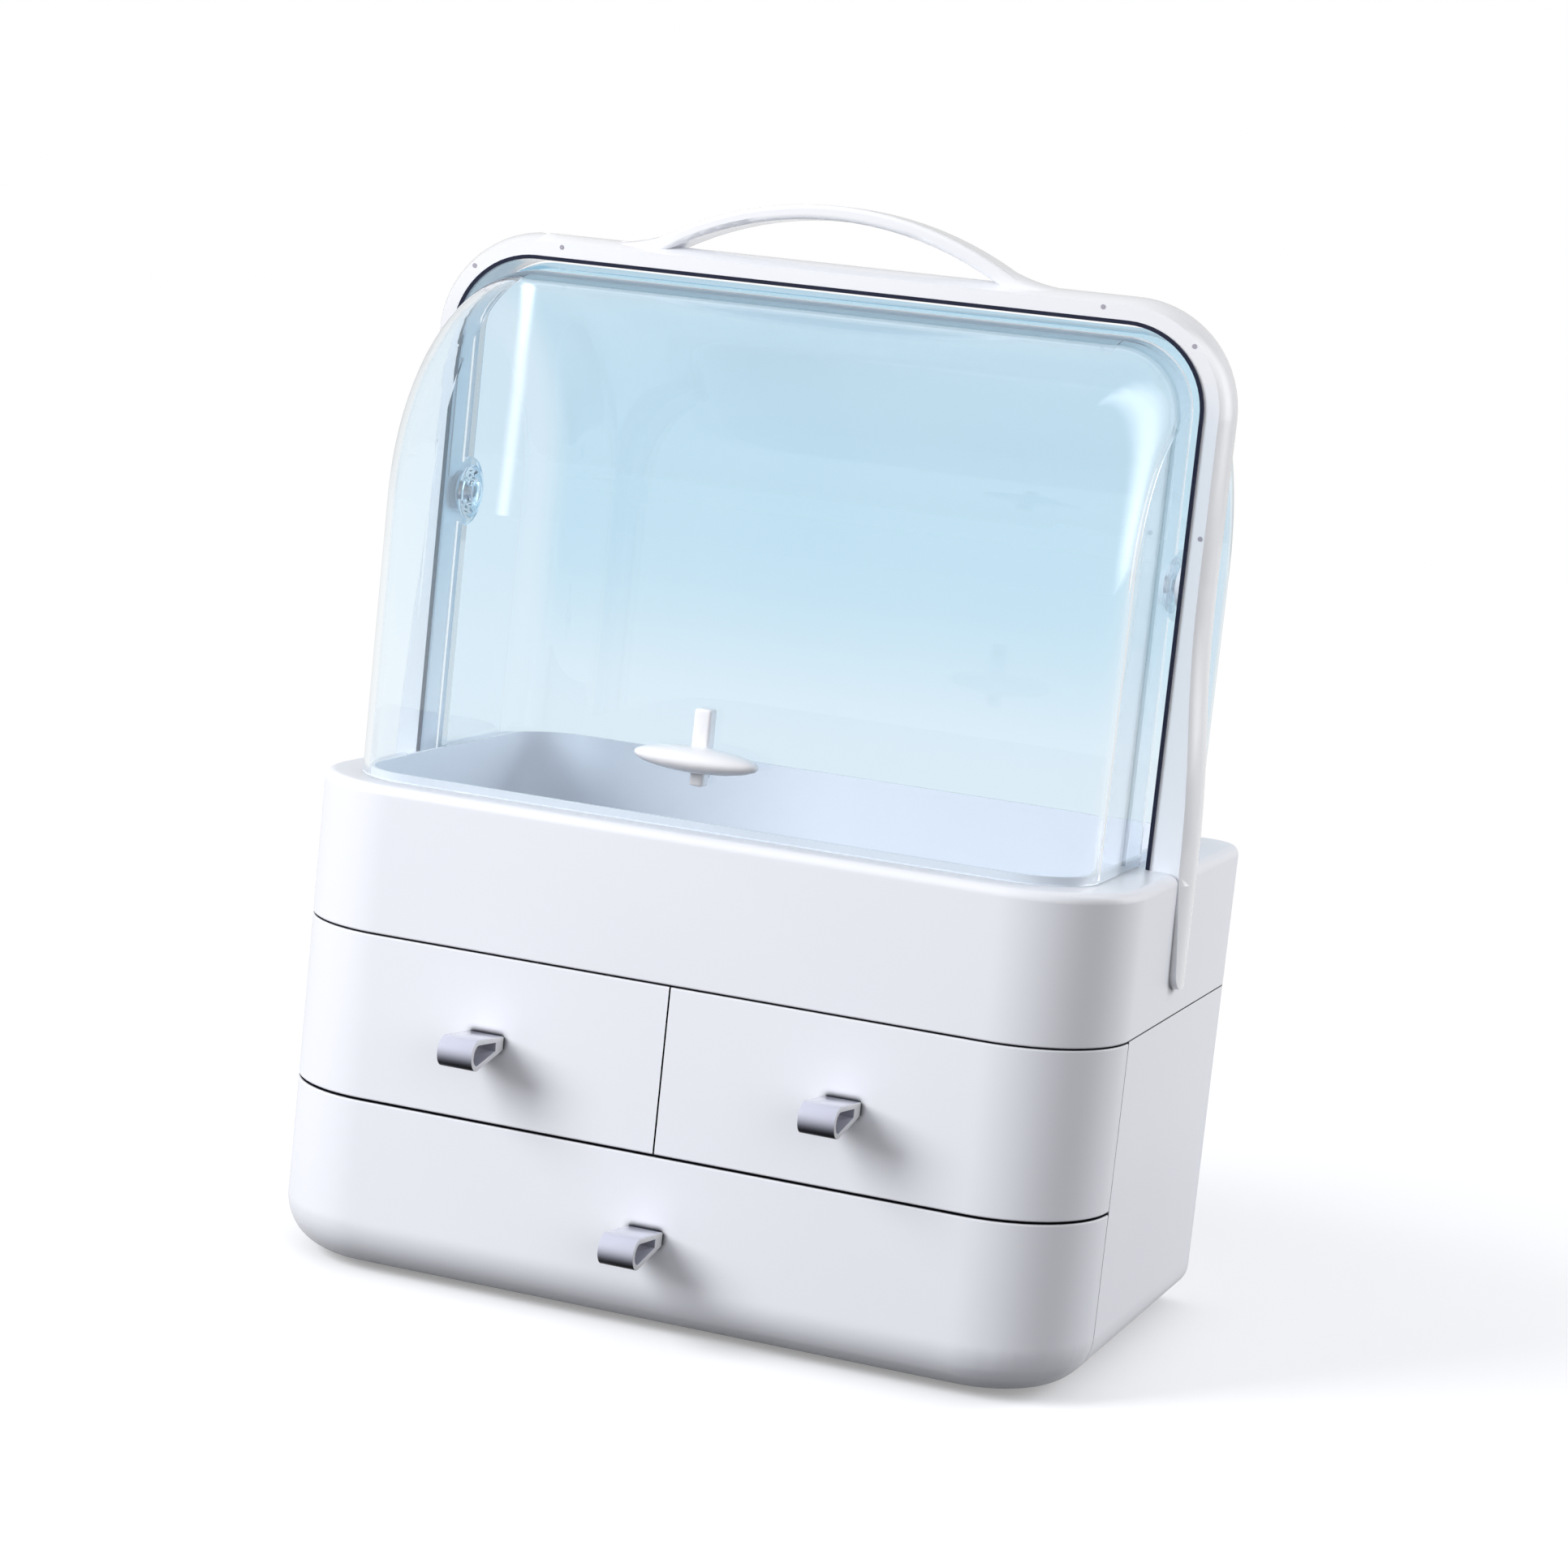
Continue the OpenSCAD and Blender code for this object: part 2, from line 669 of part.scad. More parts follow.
// Outline round two circles: points by angle on the big one, then on the small one
function loop_outline(a, ra, b, rb, n = 40) =
    let (d = norm(b - a), f = atan2(b[1] - a[1], b[0] - a[0]), t = acos((ra - rb) / d))
    concat(
        [for (k = [0:n]) a + ra * [cos(f + t + (360 - 2 * t) * k / n), sin(f + t + (360 - 2 * t) * k / n)]],
        [for (k = [0:n / 4]) b + rb * [cos(f - t + 2 * t * k * 4 / n), sin(f - t + 2 * t * k * 4 / n)]]
    );

// Drawer pull: a teardrop loop of sheet with its foot on the front
module pull(x, z) {
    nose = [5.2 - pull_reach, -0.9];
    foot = [-1.6, 0];
    color("lightsteelblue") translate([x - pull_w / 2, fy - 0.05, z]) difference() {
        rotate([90, 0, 90]) linear_extrude(pull_w) difference() {
            polygon(loop_outline(nose, 5.2, foot, 2.6));
            polygon(loop_outline(nose, 3.4, foot, 0.8));
            translate([0, -10]) square([10, 20]);
            translate([-4.2, -1]) square([5, 2]);
        }
    }
    color("lightsteelblue") translate([x - pull_w / 2, fy - 0.05, z]) difference() {
        translate([0, -6, -2]) cube([pull_w, 6, 4]);
        translate([pull_w / 2, -4, 0]) rotate([-90, 0, 0]) cylinder(d = 2, h = 5, $fn = 24);
    }
}

module pull_screw(x, z) {
    color("silver") translate([x, fy + wall + 0.05, z]) rotate([90, 0, 0])
        screw(2, wall + 3.4, 4.6, 1.4);
}

module upper_left_pull() {
    pull(-pull_x, z2 - pull_drop);
}

module upper_right_pull() {
    pull(pull_x, z2 - pull_drop);
}

module lower_pull() {
    pull(0, z1 - lower_pull_drop);
}

module upper_left_pull_screw() {
    pull_screw(-pull_x, z2 - pull_drop);
}

module upper_right_pull_screw() {
    pull_screw(pull_x, z2 - pull_drop);
}

module lower_pull_screw() {
    pull_screw(0, z1 - lower_pull_drop);
}

cabinet();
mid_shelf();
centre_divider();
top_tray();
tray_screws();
rubber_feet();
arch_frame();
leg_screws();
arch_pins();
dust_seal();
rear_cover();
pivot_pins();
pivot_washers();
pivot_caps();
front_cover();
cover_pull();
cover_pull_screws();
upper_left_drawer();
upper_left_pull();
upper_left_pull_screw();
upper_right_drawer();
upper_right_pull();
upper_right_pull_screw();
lower_drawer();
lower_pull();
lower_pull_screw();
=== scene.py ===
import bpy
import math
from mathutils import Matrix, Vector


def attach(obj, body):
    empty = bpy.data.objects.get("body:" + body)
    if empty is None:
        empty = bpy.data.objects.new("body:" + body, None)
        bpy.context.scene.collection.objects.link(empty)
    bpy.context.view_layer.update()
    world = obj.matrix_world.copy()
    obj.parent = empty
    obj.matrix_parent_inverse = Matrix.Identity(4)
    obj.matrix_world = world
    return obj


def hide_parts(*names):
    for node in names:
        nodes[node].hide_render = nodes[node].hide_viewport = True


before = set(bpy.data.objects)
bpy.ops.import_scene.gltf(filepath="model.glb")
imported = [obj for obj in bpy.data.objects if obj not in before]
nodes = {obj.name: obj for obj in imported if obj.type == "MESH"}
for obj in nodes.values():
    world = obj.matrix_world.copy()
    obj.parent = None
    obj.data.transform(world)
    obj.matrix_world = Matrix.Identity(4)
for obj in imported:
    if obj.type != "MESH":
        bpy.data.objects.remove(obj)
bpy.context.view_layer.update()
mm = 0.001
weldGap = 0.000002  # metres: points nearer than this are one
print("frame loaded:", len(nodes), "nodes")


def linearColour(code):
    values = []
    for place in (0, 2, 4):
        part = int(code[place:place + 2], 16) / 255
        values.append(part / 12.92 if part <= 0.04045 else ((part + 0.055) / 1.055) ** 2.4)
    return (*values, 1.0)


def addNode(tree, kind, settings=None, inputs=None):
    node = tree.nodes.new(kind)
    for name, value in (settings or {}).items():
        setattr(node, name, value)
    for name, value in (inputs or {}).items():
        if isinstance(value, bpy.types.NodeSocket):
            tree.links.new(value, node.inputs[name])
        else:
            node.inputs[name].default_value = value
    return node


# Node settings that recur
smoothStep = {"interpolation_type": "SMOOTHSTEP"}
mixColour = {"data_type": "RGBA"}
plus = {"operation": "ADD"}
minus = {"operation": "SUBTRACT"}
times = {"operation": "MULTIPLY"}
larger = {"operation": "MAXIMUM"}
smaller = {"operation": "MINIMUM"}
above = {"operation": "GREATER_THAN"}
below = {"operation": "LESS_THAN"}
unsigned = {"operation": "ABSOLUTE"}


# Seen straight, mirrored or through a cover, but not by light that a surface has scattered
def directRays(tree, mirrored):
    rays = addNode(tree, "ShaderNodeLightPath")
    seen = addNode(tree, "ShaderNodeMath", larger, {
        0: rays.outputs["Is Camera Ray"], 1: rays.outputs["Is Transmission Ray"]})
    glossy = addNode(tree, "ShaderNodeMath", times, {0: rays.outputs["Is Glossy Ray"], 1: mirrored})
    direct = addNode(tree, "ShaderNodeMath", larger, {0: seen.outputs["Value"], 1: glossy.outputs["Value"]})
    unscattered = addNode(tree, "ShaderNodeMath", below, {0: rays.outputs["Diffuse Depth"], 1: 0.5})
    return addNode(tree, "ShaderNodeMath", times, {
        0: direct.outputs["Value"], 1: unscattered.outputs["Value"]}).outputs["Value"]


def newMaterial(name, shaderValues):
    material = bpy.data.materials.new(name)
    material.use_nodes = True
    tree = material.node_tree
    tree.nodes.clear()
    shader = addNode(tree, "ShaderNodeBsdfPrincipled", inputs=shaderValues)
    addNode(tree, "ShaderNodeOutputMaterial", inputs={"Surface": shader.outputs["BSDF"]})
    return material, tree, shader


def perMetre(millimetres):
    return 1000 / millimetres


# Painted shade in the narrow seams of the case, below its rim: dark where ambient occlusion finds the walls close
seamShade = {"colour": "1C1E26", "reachMm": 2.8, "closed": 0.5, "open": 0.97, "rimLow": 0.150, "rimHigh": 0.158}


def paintedSeamShade(tree, tint, s):
    openness = addNode(tree, "ShaderNodeAmbientOcclusion", {"samples": 8}, {"Distance": s["reachMm"] * mm})
    height = addNode(tree, "ShaderNodeSeparateXYZ", inputs={
        "Vector": addNode(tree, "ShaderNodeTexCoord").outputs["Object"]}).outputs["Z"]
    unshaded = addNode(tree, "ShaderNodeMapRange", smoothStep, {
        "Value": openness.outputs["AO"], "From Min": s["closed"], "From Max": s["open"]})
    atRim = addNode(tree, "ShaderNodeMapRange", smoothStep, {
        "Value": height, "From Min": s["rimLow"], "From Max": s["rimHigh"]})
    clear = addNode(tree, "ShaderNodeMath", larger, {0: unshaded.outputs["Result"], 1: atRim.outputs["Result"]})
    return addNode(tree, "ShaderNodeMix", mixColour, {
        0: clear.outputs["Value"], 6: linearColour(s["colour"]), 7: tint}).outputs[2]


# Painted shade by the way a face looks: faces that look down are painted dark and made dull,
# with less specular and coat, as shade; faces that look to both sides are white
pullPaintedShade = {"below": "14151D", "darkAt": -0.75, "lightAt": 0.45, "dull": 0.02, "sheen": 0.5,
               "bareAt": -0.6, "coatedAt": 0.6, "sideWhite": "FCFCFF", "sideWhiteFrom": 0.55, "sideWhiteAt": 0.9}


def paintedShadeBelow(tree, shader, tint, coat, s):
    normal = addNode(tree, "ShaderNodeSeparateXYZ", inputs={
        "Vector": addNode(tree, "ShaderNodeNewGeometry").outputs["Normal"]}).outputs
    mirror = addNode(tree, "ShaderNodeMapRange", smoothStep, {
        "Value": normal["Z"], "From Min": s["darkAt"], "From Max": s["lightAt"],
        "To Min": s["dull"], "To Max": s["sheen"]})
    tree.links.new(mirror.outputs["Result"], shader.inputs["Specular IOR Level"])
    coated = addNode(tree, "ShaderNodeMapRange", smoothStep, {
        "Value": normal["Z"], "From Min": s["bareAt"], "From Max": s["coatedAt"], "To Max": coat})
    tree.links.new(coated.outputs["Result"], shader.inputs["Coat Weight"])
    light = addNode(tree, "ShaderNodeMapRange", smoothStep, {
        "Value": normal["Z"], "From Min": s["darkAt"], "From Max": s["lightAt"]})
    toned = addNode(tree, "ShaderNodeMix", mixColour, {
        0: light.outputs["Result"], 6: linearColour(s["below"]), 7: tint}).outputs[2]
    aside = addNode(tree, "ShaderNodeMath", unsigned, {0: normal["X"]})
    sideWhite = addNode(tree, "ShaderNodeMapRange", smoothStep, {
        "Value": aside.outputs["Value"], "From Min": s["sideWhiteFrom"], "From Max": s["sideWhiteAt"]})
    return addNode(tree, "ShaderNodeMix", mixColour, {
        0: sideWhite.outputs["Result"], 6: toned, 7: linearColour(s["sideWhite"])}).outputs[2]


# Moulded plastics. Each is a colour that drifts a little over the part, a skin of shallow moulding
# ripple and a roughness that varies with it; some add painted shade in seams or on faces that look down.
def mouldedPlastic(name, s):
    material, tree, shader = newMaterial(name, {
        "IOR": s["ior"], "Coat Weight": s["coat"], "Coat Roughness": 0.08})
    place = addNode(tree, "ShaderNodeTexCoord").outputs["Object"]
    drift = addNode(tree, "ShaderNodeTexNoise", inputs={
        "Vector": place, "Scale": perMetre(s["driftMm"]), "Detail": 2.0, "Roughness": 0.5})
    tint = addNode(tree, "ShaderNodeMix", mixColour, {
        0: drift.outputs["Fac"], 6: linearColour(s["colour"]), 7: linearColour(s["shade"])}).outputs[2]
    # the pulls: painted shade on the faces that look down, white on their sides
    if "shadeBelow" in s:
        tint = paintedShadeBelow(tree, shader, tint, s["coat"], s["shadeBelow"])
    # painted shade in the seams of the case and drawers
    if "seams" in s:
        tint = paintedSeamShade(tree, tint, s["seams"])
    tree.links.new(tint, shader.inputs["Base Color"])
    skin = addNode(tree, "ShaderNodeTexNoise", inputs={
        "Vector": place, "Scale": perMetre(s["skinMm"]), "Detail": 3.0, "Roughness": 0.55})
    polish = addNode(tree, "ShaderNodeMapRange", inputs={
        "Value": skin.outputs["Fac"], "From Min": 0.3, "From Max": 0.7,
        "To Min": s["rough"] - s["roughSpread"], "To Max": s["rough"] + s["roughSpread"]})
    tree.links.new(polish.outputs["Result"], shader.inputs["Roughness"])
    bump = addNode(tree, "ShaderNodeBump", inputs={
        "Strength": s["skinStrength"], "Distance": s["skinHeightMm"] * mm, "Height": skin.outputs["Fac"]})
    tree.links.new(bump.outputs["Normal"], shader.inputs["Normal"])
    return material


# A ray that is caught inside a cover's wall goes straight on once its bounces reach the limit;
# a mirror bounce counts as three
caughtRay = {"mirrorCount": 3.0, "limit": 8.5}


# Clear and tinted covers: polystyrene, polished in the mould, 2 mm thick. The tint is weakest
# at the foot of the cover and in its side walls. Light for shadows passes straight through.
def clearPlastic(name, s):
    material, tree, shader = newMaterial(name, {
        "IOR": s["ior"], "Roughness": s["rough"], "Transmission Weight": 1.0})
    place = addNode(tree, "ShaderNodeTexCoord").outputs["Object"]
    spot = addNode(tree, "ShaderNodeSeparateXYZ", inputs={"Vector": place}).outputs
    fade = addNode(tree, "ShaderNodeMapRange", smoothStep, {
        "Value": spot["Z"], "From Min": s["fadeLow"], "From Max": s["fadeHigh"]})
    cloud = addNode(tree, "ShaderNodeTexNoise", inputs={
        "Vector": place, "Scale": perMetre(s["cloudMm"]), "Detail": 2.0})
    sway = addNode(tree, "ShaderNodeMapRange", inputs={
        "Value": cloud.outputs["Fac"], "From Min": 0.3, "From Max": 0.7, "To Min": 0.9})
    across = addNode(tree, "ShaderNodeMath", unsigned, {0: spot["X"]})
    middle = addNode(tree, "ShaderNodeMapRange", smoothStep, {
        "Value": across.outputs["Value"], "From Min": s["sideOuter"], "From Max": s["sideInner"],
        "To Min": s["sideTint"]})
    body = addNode(tree, "ShaderNodeMath", times, {0: fade.outputs["Result"], 1: sway.outputs["Result"]})
    depth = addNode(tree, "ShaderNodeMath", times, {0: body.outputs["Value"], 1: middle.outputs["Result"]})
    tint = addNode(tree, "ShaderNodeMix", mixColour, {
        0: depth.outputs["Value"], 6: linearColour(s["footColour"]), 7: linearColour(s["colour"])}).outputs[2]
    tree.links.new(tint, shader.inputs["Base Color"])
    flow = addNode(tree, "ShaderNodeTexNoise", inputs={
        "Vector": place, "Scale": perMetre(s["flowMm"]), "Detail": 1.0})
    bump = addNode(tree, "ShaderNodeBump", inputs={
        "Strength": 0.06, "Distance": 0.1 * mm, "Height": flow.outputs["Fac"]})
    tree.links.new(bump.outputs["Normal"], shader.inputs["Normal"])
    rays = addNode(tree, "ShaderNodeLightPath")
    bounces = addNode(tree, "ShaderNodeMath", {"operation": "MULTIPLY_ADD"}, {
        0: rays.outputs["Glossy Depth"], 1: caughtRay["mirrorCount"], 2: rays.outputs["Transmission Depth"]})
    caught = addNode(tree, "ShaderNodeMath", above, {0: bounces.outputs["Value"], 1: caughtRay["limit"]})
    straight = addNode(tree, "ShaderNodeMath", larger, {
        0: rays.outputs["Is Shadow Ray"], 1: caught.outputs["Value"]})
    surfaceTint = addNode(tree, "ShaderNodeGamma", inputs={"Color": tint, "Gamma": 0.5})  # a wall has two surfaces
    through = addNode(tree, "ShaderNodeBsdfTransparent", inputs={"Color": surfaceTint.outputs["Color"]})
    mixed = addNode(tree, "ShaderNodeMixShader", inputs={
        "Fac": straight.outputs["Value"], 1: shader.outputs["BSDF"], 2: through.outputs["BSDF"]})
    output = next(node for node in tree.nodes if node.type == "OUTPUT_MATERIAL")
    tree.links.new(mixed.outputs["Shader"], output.inputs["Surface"])
    return material


# Rubber: dull, with the fine grit of a moulded or extruded skin
def rubberSkin(name, s):
    material, tree, shader = newMaterial(name, {
        "IOR": 1.52, "Roughness": s["rough"], "Specular IOR Level": 0.35})
    place = addNode(tree, "ShaderNodeTexCoord").outputs["Object"]
    grit = addNode(tree, "ShaderNodeTexNoise", inputs={
        "Vector": place, "Scale": perMetre(s["gritMm"]), "Detail": 4.0})
    tint = addNode(tree, "ShaderNodeMix", mixColour, {
        0: grit.outputs["Fac"], 6: linearColour(s["colour"]), 7: linearColour(s["bloom"])}).outputs[2]
    if "carrier" in s:  # extruded from two rubbers: a dark lip in front, a pale strip behind it
        depth = addNode(tree, "ShaderNodeSeparateXYZ", inputs={"Vector": place}).outputs["Y"]
        strip = addNode(tree, "ShaderNodeMapRange", smoothStep, {
            "Value": depth, "From Min": s["lipBack"] - s["lipBlur"], "From Max": s["lipBack"] + s["lipBlur"]})
        tint = addNode(tree, "ShaderNodeMix", mixColour, {
            0: strip.outputs["Result"], 6: tint, 7: linearColour(s["carrier"])}).outputs[2]
    tree.links.new(tint, shader.inputs["Base Color"])
    bump = addNode(tree, "ShaderNodeBump", inputs={
        "Strength": 0.35, "Distance": 0.08 * mm, "Height": grit.outputs["Fac"]})
    tree.links.new(bump.outputs["Normal"], shader.inputs["Normal"])
    return material


# Steel: zinc plated, with faint turning marks
def platedSteel(name, s):
    material, tree, shader = newMaterial(name, {"Metallic": 1.0})
    place = addNode(tree, "ShaderNodeTexCoord").outputs["Object"]
    grain = addNode(tree, "ShaderNodeTexNoise", inputs={
        "Vector": place, "Scale": perMetre(s["grainMm"]), "Detail": 3.0})
    polish = addNode(tree, "ShaderNodeMapRange", inputs={
        "Value": grain.outputs["Fac"], "To Min": s["rough"] - 0.08, "To Max": s["rough"] + 0.12})
    tree.links.new(polish.outputs["Result"], shader.inputs["Roughness"])
    tone = addNode(tree, "ShaderNodeMix", mixColour, {
        0: grain.outputs["Fac"], 6: linearColour(s["colour"]), 7: linearColour(s["shade"])})
    tree.links.new(tone.outputs[2], shader.inputs["Base Color"])
    return material


finishes = {
    # white ABS with a faint blue cast, satin from a stoned mould: a broad, soft highlight
    "case": mouldedPlastic("mouldedAbsWhite", {
        "colour": "F4F6FD", "shade": "F1F3FB", "ior": 1.54, "rough": 0.3, "roughSpread": 0.012, "coat": 0.0,
        "driftMm": 60, "skinMm": 9, "skinHeightMm": 0.008, "skinStrength": 0.1, "seams": seamShade}),
    # the arch is polished ABS of the same white: it mirrors the bright room at a slant
    "arch": mouldedPlastic("polishedAbsArchWhite", {
        "colour": "F8F9FE", "shade": "F4F6FC", "ior": 1.54, "rough": 0.22, "roughSpread": 0.012, "coat": 1.0,
        "driftMm": 60, "skinMm": 9, "skinHeightMm": 0.008, "skinStrength": 0.1}),
    # the same ABS on the drawers, a little more polished, so the fronts carry a sheen
    "drawer": mouldedPlastic("polishedAbsWhite", {
        "colour": "F5F7FE", "shade": "F2F4FC", "ior": 1.54, "rough": 0.26, "roughSpread": 0.012, "coat": 0.0,
        "driftMm": 70, "skinMm": 11, "skinHeightMm": 0.008, "skinStrength": 0.1, "seams": seamShade}),
    # white polypropylene inside the case, with a fine spark-eroded texture: no gloss
    "inner": mouldedPlastic("erodedPolypropyleneWhite", {
        "colour": "E9EAEF", "shade": "E2E4EA", "ior": 1.49, "rough": 0.55, "roughSpread": 0.06, "coat": 0.0,
        "driftMm": 40, "skinMm": 0.6, "skinHeightMm": 0.05, "skinStrength": 0.25}),
    # gloss white ABS of the grip, from a polished mould: a small sharp highlight
    "gloss": mouldedPlastic("glossAbsWhite", {
        "colour": "F7F8FD", "shade": "F2F3FA", "ior": 1.54, "rough": 0.14, "roughSpread": 0.03, "coat": 0.3,
        "driftMm": 20, "skinMm": 1.2, "skinHeightMm": 0.01, "skinStrength": 0.05}),
    # lavender grey ABS of the pulls, with painted shade: near black and dull on faces that look down, white on faces
    # to both sides
    "pull": mouldedPlastic("lavenderAbsShadedBelow", {
        "colour": "CFD1E2", "shade": "C6C9DC", "ior": 1.54, "rough": 0.12, "roughSpread": 0.03, "coat": 0.5,
        "driftMm": 12, "skinMm": 1.0, "skinHeightMm": 0.01, "skinStrength": 0.05, "shadeBelow": pullPaintedShade}),
    # turned nylon pins: dull lilac dots in the white arch
    "pin": mouldedPlastic("turnedNylonLilac", {
        "colour": "B4B0BC", "shade": "A6A2B0", "ior": 1.53, "rough": 0.45, "roughSpread": 0.05, "coat": 0.0,
        "driftMm": 5, "skinMm": 0.5, "skinHeightMm": 0.02, "skinStrength": 0.1}),
    # front cover and pivot caps: all but colourless, seen by highlights and by the blue of the edges
    "clear": clearPlastic("polishedPolystyreneClear", {
        "colour": "F4FAFE", "footColour": "F6FBFE", "ior": 1.49, "rough": 0.01,
        "fadeLow": 0.17, "fadeHigh": 0.30, "cloudMm": 90, "flowMm": 45,
        "sideTint": 0.6, "sideInner": 0.122, "sideOuter": 0.131}),
    # rear cover: light blue through two walls, paler towards the rim
    "blue": clearPlastic("polishedPolystyreneBlue", {
        "colour": "C4E2F1", "footColour": "E4F1F9", "ior": 1.49, "rough": 0.02,
        "fadeLow": 0.175, "fadeHigh": 0.25, "cloudMm": 80, "flowMm": 50,
        "sideTint": 0.15, "sideInner": 0.122, "sideOuter": 0.131}),
    # extruded seal: a thin navy line inside the arch
    "seal": rubberSkin("extrudedRubberNavy", {
        "colour": "10152A", "bloom": "1A2038", "rough": 0.42, "gritMm": 0.8,
        "carrier": "D9DBE4", "lipBack": 0.0033, "lipBlur": 0.0001}),
    # moulded feet: dark, with a dusty bloom
    "foot": rubberSkin("mouldedRubberGrey", {
        "colour": "2C2C31", "bloom": "393940", "rough": 0.6, "gritMm": 0.7}),
    # zinc plated screws and pins: pale metal with a broken highlight
    "steel": platedSteel("zincPlatedSteel", {
        "colour": "C3C5C9", "shade": "AEB1B8", "rough": 0.3, "grainMm": 0.8}),
}

# The finish of each solid from the CAD
dressed = {
    "case": ["cabinet", "top_tray"],
    "arch": ["arch_frame"],
    "drawer": ["upper_left_drawer", "upper_right_drawer", "lower_drawer"],
    "inner": ["mid_shelf", "centre_divider", "pivot_washers"],
    "gloss": ["cover_pull", "pivot_caps"],
    "pull": ["upper_left_pull", "upper_right_pull", "lower_pull"],
    "pin": ["arch_pins"],
    "clear": ["front_cover"],
    "blue": ["rear_cover"],
    "seal": ["dust_seal"],
    "foot": ["rubber_feet"],
    "steel": ["tray_screws", "leg_screws", "pivot_pins", "cover_pull_screws", "upper_left_pull_screw",
              "upper_right_pull_screw", "lower_pull_screw"],
}
for finish, names in dressed.items():
    for name in names:
        for materialSlot in nodes[name].material_slots:
            materialSlot.material = finishes[finish]
print("materials assigned")


def takeOnly(piece):
    bpy.ops.object.select_all(action="DESELECT")
    piece.select_set(True)
    bpy.context.view_layer.objects.active = piece


# Chooses vertices or faces by a test of their place or normal and stays in edit mode
def choose(piece, kind, test):
    takeOnly(piece)
    bpy.ops.object.mode_set(mode="EDIT")
    bpy.ops.mesh.select_mode(type=kind)
    bpy.ops.mesh.select_all(action="DESELECT")
    bpy.ops.object.mode_set(mode="OBJECT")
    items = piece.data.vertices if kind == "VERT" else piece.data.polygons
    for item in items:
        item.select = bool(test(item))
    bpy.ops.object.mode_set(mode="EDIT")


def leaveEdit():
    bpy.ops.object.mode_set(mode="OBJECT")


def applyPlace():
    bpy.ops.object.transform_apply(location=True, rotation=True, scale=True)


def applyModifier(piece, kind, settings):
    takeOnly(piece)
    modifier = piece.modifiers.new(kind, kind)
    for key, value in settings.items():
        setattr(modifier, key, value)
    bpy.ops.object.modifier_apply(modifier=modifier.name)


# Rounds the edges that are sharper than the angle in degrees
def roundEdges(piece, width, segments, angle):
    applyModifier(piece, "BEVEL", {
        "width": width * mm, "segments": segments, "limit_method": "ANGLE", "angle_limit": math.radians(angle),
        "use_clamp_overlap": True})


def unite(piece, other):
    applyModifier(piece, "BOOLEAN", {"operation": "UNION", "solver": "EXACT", "object": other})
    bpy.data.objects.remove(other, do_unlink=True)


def cutWith(piece, other):
    applyModifier(piece, "BOOLEAN", {"operation": "DIFFERENCE", "solver": "EXACT", "object": other})
    bpy.data.objects.remove(other, do_unlink=True)


def outwardFaces(piece):
    choose(piece, "FACE", lambda face: True)
    bpy.ops.mesh.remove_doubles(threshold=weldGap)  # slivers that a boolean leaves
    bpy.ops.mesh.dissolve_degenerate(threshold=0.000001)
    bpy.ops.mesh.normals_make_consistent(inside=False)
    leaveEdit()


def smooth(piece, angle=35):
    takeOnly(piece)
    bpy.ops.object.shade_smooth_by_angle(angle=math.radians(angle))


def copyTo(piece, shift):
    takeOnly(piece)
    bpy.ops.object.duplicate(linked=False)
    copied = bpy.context.object
    bpy.ops.transform.translate(value=[value * mm for value in shift])
    applyPlace()
    return copied


def joinAll(pieces):
    bpy.ops.object.select_all(action="DESELECT")
    for piece in pieces:
        piece.select_set(True)
    bpy.context.view_layer.objects.active = pieces[0]
    if len(pieces) > 1:
        bpy.ops.object.join()
    return pieces[0]


def dress(piece, name, body, finish, replaced=()):
    piece.name = name
    piece.data.name = name
    piece.data.materials.clear()
    piece.data.materials.append(finishes[finish])
    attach(piece, body)
    if replaced:
        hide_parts(*replaced)
    print("piece", name, len(piece.data.polygons), "faces")


# Block between two corners in millimetres, with soft edges
def softBlock(low, high, edge):
    centre = [(a + b) / 2 * mm for a, b in zip(low, high)]
    bpy.ops.object.select_all(action="DESELECT")
    bpy.ops.mesh.primitive_cube_add(size=1, location=centre)
    block = bpy.context.object
    bpy.ops.transform.resize(value=[(b - a) * mm for a, b in zip(low, high)])
    applyPlace()
    roundEdges(block, edge, 3, 30)
    return block


# Moulded shells: copies of the solid shells with their sharp edges rounded, so that the seams
# between them show as soft grooves. Flat areas are joined first, so that the edges run through.
shellRounding = {"flat": 0.3, "width": 0.6, "segments": 3, "sharp": 38, "smooth": 60}
shells = {
    "top_tray": ("case", "white_case", "case"),
    "cabinet": ("case", "white_case", "case"),
    "upper_left_drawer": ("upper_left", "drawer_white", "drawer"),
    "upper_right_drawer": ("upper_right", "drawer_white", "drawer"),
    "lower_drawer": ("lower", "drawer_white", "drawer"),
}


def roundedShell(name, s):
    takeOnly(nodes[name])
    bpy.ops.object.duplicate(linked=False)
    shell = bpy.context.object
    bpy.ops.object.mode_set(mode="EDIT")
    bpy.ops.mesh.select_all(action="SELECT")
    bpy.ops.mesh.remove_doubles(threshold=weldGap)
    bpy.ops.mesh.dissolve_limited(angle_limit=math.radians(s["flat"]))
    leaveEdit()
    roundEdges(shell, s["width"], s["segments"], s["sharp"])
    smooth(shell, s["smooth"])
    applyModifier(shell, "WEIGHTED_NORMAL", {"mode": "FACE_AREA", "weight": 50, "keep_sharp": True})
    return shell


for name, (body, slotName, finish) in shells.items():
    dress(roundedShell(name, shellRounding), name + "_rounded", body, finish, [name])


# Drawer pull: one strip of sheet rolled into a teardrop, its ends under a small foot.
# The strip is a ring whose rear part is drawn in to the foot, widened and thickened.
drawerPull = {
    "width": 12.5, "sheet": 1.8, "sides": 96, "noseY": -94.35, "noseDrop": 0.9, "noseRadius": 4.3,
    "footY": -76.15, "footRadius": 1.7, "frontY": -74.55, "footDepth": 6.0, "footHeight": 4.0, "footEdge": 0.4,
    "edge": 0.45,
}


